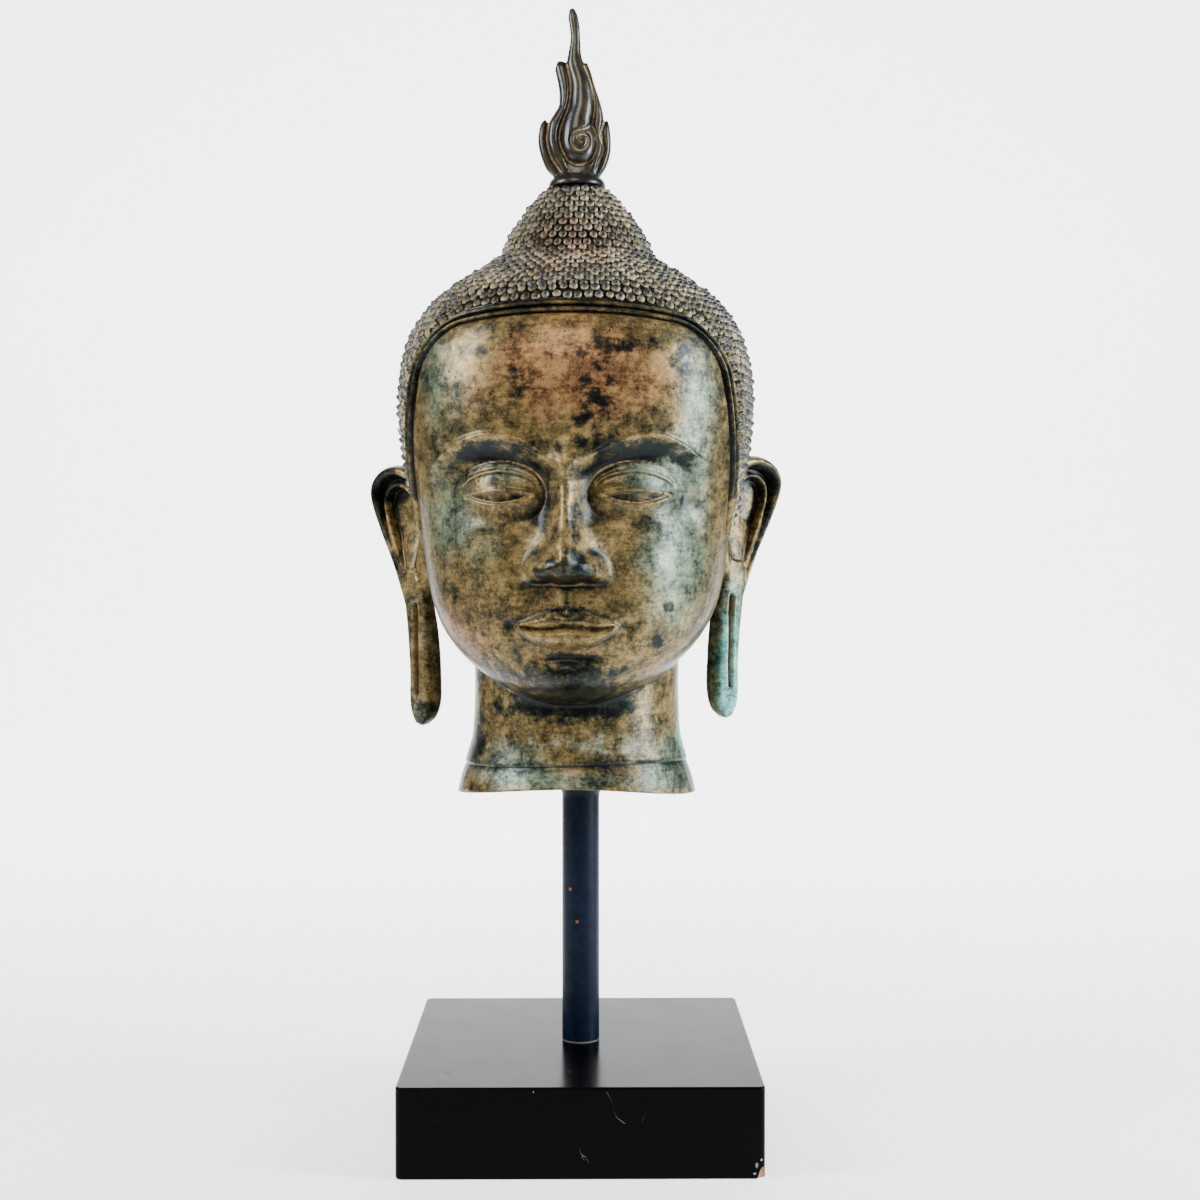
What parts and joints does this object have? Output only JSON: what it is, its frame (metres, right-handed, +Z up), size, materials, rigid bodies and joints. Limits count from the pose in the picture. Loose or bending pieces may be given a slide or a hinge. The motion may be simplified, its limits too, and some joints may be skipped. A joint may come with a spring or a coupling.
{
  "type": "bronze buddha head",
  "caption": "Cast bronze Buddha head with curled hair, long ear lobes and a flame finial, held on a black steel rod that stands in a square black lacquered wooden block.",
  "frame": {"origin": "middle of the wooden block's underside, where the piece stands", "axes": "+Z up along the rod, -Y the way the head looks (it is turned 3 degrees towards -X), +X to the right of a viewer in front of it"},
  "size_m": [0.2475, 0.2371, 0.6588],
  "materials": {
    "patinated_bronze": "cast bronze, rubbed, with brown, green and near-black patina",
    "dark_bronze": "cast bronze with a dark, waxed patina and tan residue in the grooves",
    "black_steel": "round bar, satin black paint",
    "black_lacquer": "solid wood, semi-gloss black lacquer, chipped at one corner"
  },
  "bodies": {
    "root": {"bronze_head": "patinated_bronze", "flame_finial": "dark_bronze", "steel_rod": "black_steel", "wooden_block": "black_lacquer"}
  },
  "joints": []
}
